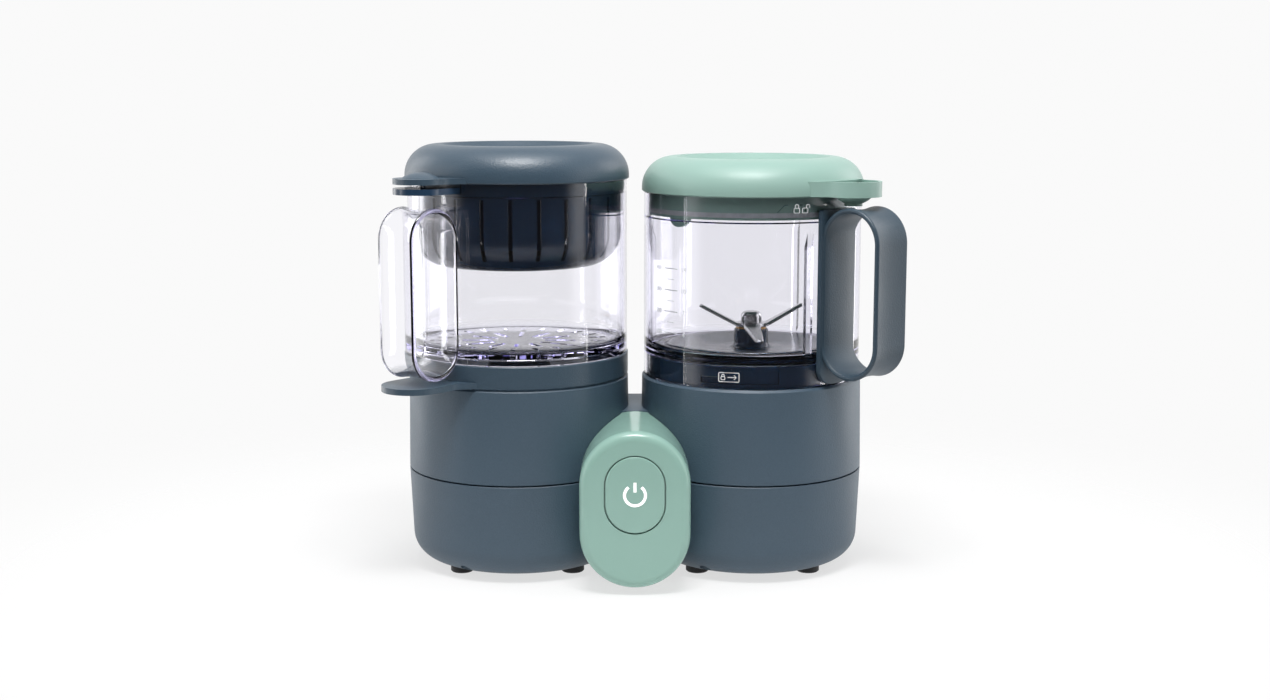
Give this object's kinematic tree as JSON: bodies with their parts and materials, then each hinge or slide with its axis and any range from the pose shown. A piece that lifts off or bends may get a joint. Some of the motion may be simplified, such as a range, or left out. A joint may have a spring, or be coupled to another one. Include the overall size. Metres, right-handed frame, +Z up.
{
  "type": "baby food maker",
  "caption": "Counter-top baby food maker: a steamer stack and a blender jar side by side on twin round towers with a push-button panel between them.",
  "frame": {"origin": "bottom centre of the whole machine's box, at the level of the feet", "axes": "+X along the row of the two towers to the blender's side, +Y to the back, +Z up"},
  "size_m": [0.2611, 0.134, 0.222],
  "materials": {
    "slate_plastic": "fine matte texture",
    "dark_plastic": "satin",
    "mint_plastic": "satin",
    "clear_plastic": "clear, polished",
    "stainless_steel": "brushed",
    "silicone": "translucent grey silicone",
    "black_rubber": "matte",
    "zinc_steel": "zinc plated",
    "cast_aluminium": "cast",
    "circuit_board": "solder mask",
    "switch_plastic": "moulded",
    "ferrite": "ground",
    "bronze": "sintered",
    "coupling_plastic": "moulded"
  },
  "bodies": {
    "base": {"left_tub": "slate_plastic", "right_tub": "slate_plastic", "left_tower": "slate_plastic", "right_tower": "slate_plastic", "bridge_housing": "slate_plastic", "cord_gland": "black_rubber", "rubber_feet": "black_rubber", "housing_screws": "zinc_steel", "control_panel": "mint_plastic", "control_board": "circuit_board", "tact_switch": "switch_plastic", "boiler_pan": "stainless_steel", "boiler_seal": "silicone", "heating_element": "cast_aluminium", "thermostat": "switch_plastic", "power_board": "circuit_board", "motor_can": "zinc_steel", "field_magnets": "ferrite", "motor_bracket": "zinc_steel", "motor_screws": "zinc_steel", "motor_bushes": "bronze"},
    "button": {"start_button": "mint_plastic"},
    "motor_rotor": {"motor_shaft": "zinc_steel", "armature": "ferrite", "commutator": "bronze", "drive_coupling": "coupling_plastic"},
    "tray": {"drip_tray": "dark_plastic"},
    "bowl": {"steam_bowl": "clear_plastic", "bowl_handle": "clear_plastic"},
    "basket": {"steam_basket": "dark_plastic"},
    "steamer_lid": {"steamer_lid": "dark_plastic", "steamer_lid_seal": "silicone"},
    "blade_unit": {"blade_base": "dark_plastic", "blade_base_seal": "silicone", "blade_bush": "bronze"},
    "blade_rotor": {"blade_shaft": "stainless_steel", "blade_cross": "stainless_steel", "blade_nut": "stainless_steel", "driven_coupling": "coupling_plastic"},
    "jar": {"blender_jar": "clear_plastic", "jar_handle": "dark_plastic"},
    "blender_lid": {"blender_lid": "mint_plastic", "blender_lid_seal": "silicone"}
  },
  "joints": [
    {"name": "button_press", "type": "slide", "parent": "base", "child": "button", "axis": [0, 1, 0], "range_m": [0, 0.0015], "stiffness_N_per_m": 500, "springref_m": -0.002},
    {"name": "motor_spin", "type": "hinge", "parent": "base", "child": "motor_rotor", "pos_m": [0.0577, 0.0083, 0.1], "axis": [0, 0, 1], "continuous": true},
    {"name": "tray_lift", "type": "slide", "parent": "base", "child": "tray", "axis": [0, 0, 1], "range_m": [0, 0.03]},
    {"name": "bowl_lift", "type": "slide", "parent": "tray", "child": "bowl", "axis": [0, 0, 1], "range_m": [0, 0.04]},
    {"name": "basket_lift", "type": "slide", "parent": "bowl", "child": "basket", "axis": [0, 0, 1], "range_m": [0, 0.07]},
    {"name": "steamer_lid_lift", "type": "slide", "parent": "basket", "child": "steamer_lid", "axis": [0, 0, 1], "range_m": [0, 0.05]},
    {"name": "blade_unit_lift", "type": "slide", "parent": "base", "child": "blade_unit", "axis": [0, 0, 1], "range_m": [0, 0.06]},
    {"name": "blade_spin", "type": "hinge", "parent": "blade_unit", "child": "blade_rotor", "pos_m": [0.0577, 0.0083, 0.1], "axis": [0, 0, 1], "continuous": true},
    {"name": "jar_twist", "type": "hinge", "parent": "blade_unit", "child": "jar", "pos_m": [0.0577, 0.0083, 0.1], "axis": [0, 0, 1], "range_deg": [0, 30]},
    {"name": "blender_lid_lift", "type": "slide", "parent": "jar", "child": "blender_lid", "axis": [0, 0, 1], "range_m": [0, 0.05]}
  ],
  "couplings": [
    {"joint": "blade_spin", "follows": "motor_spin", "ratio": 1}
  ]
}
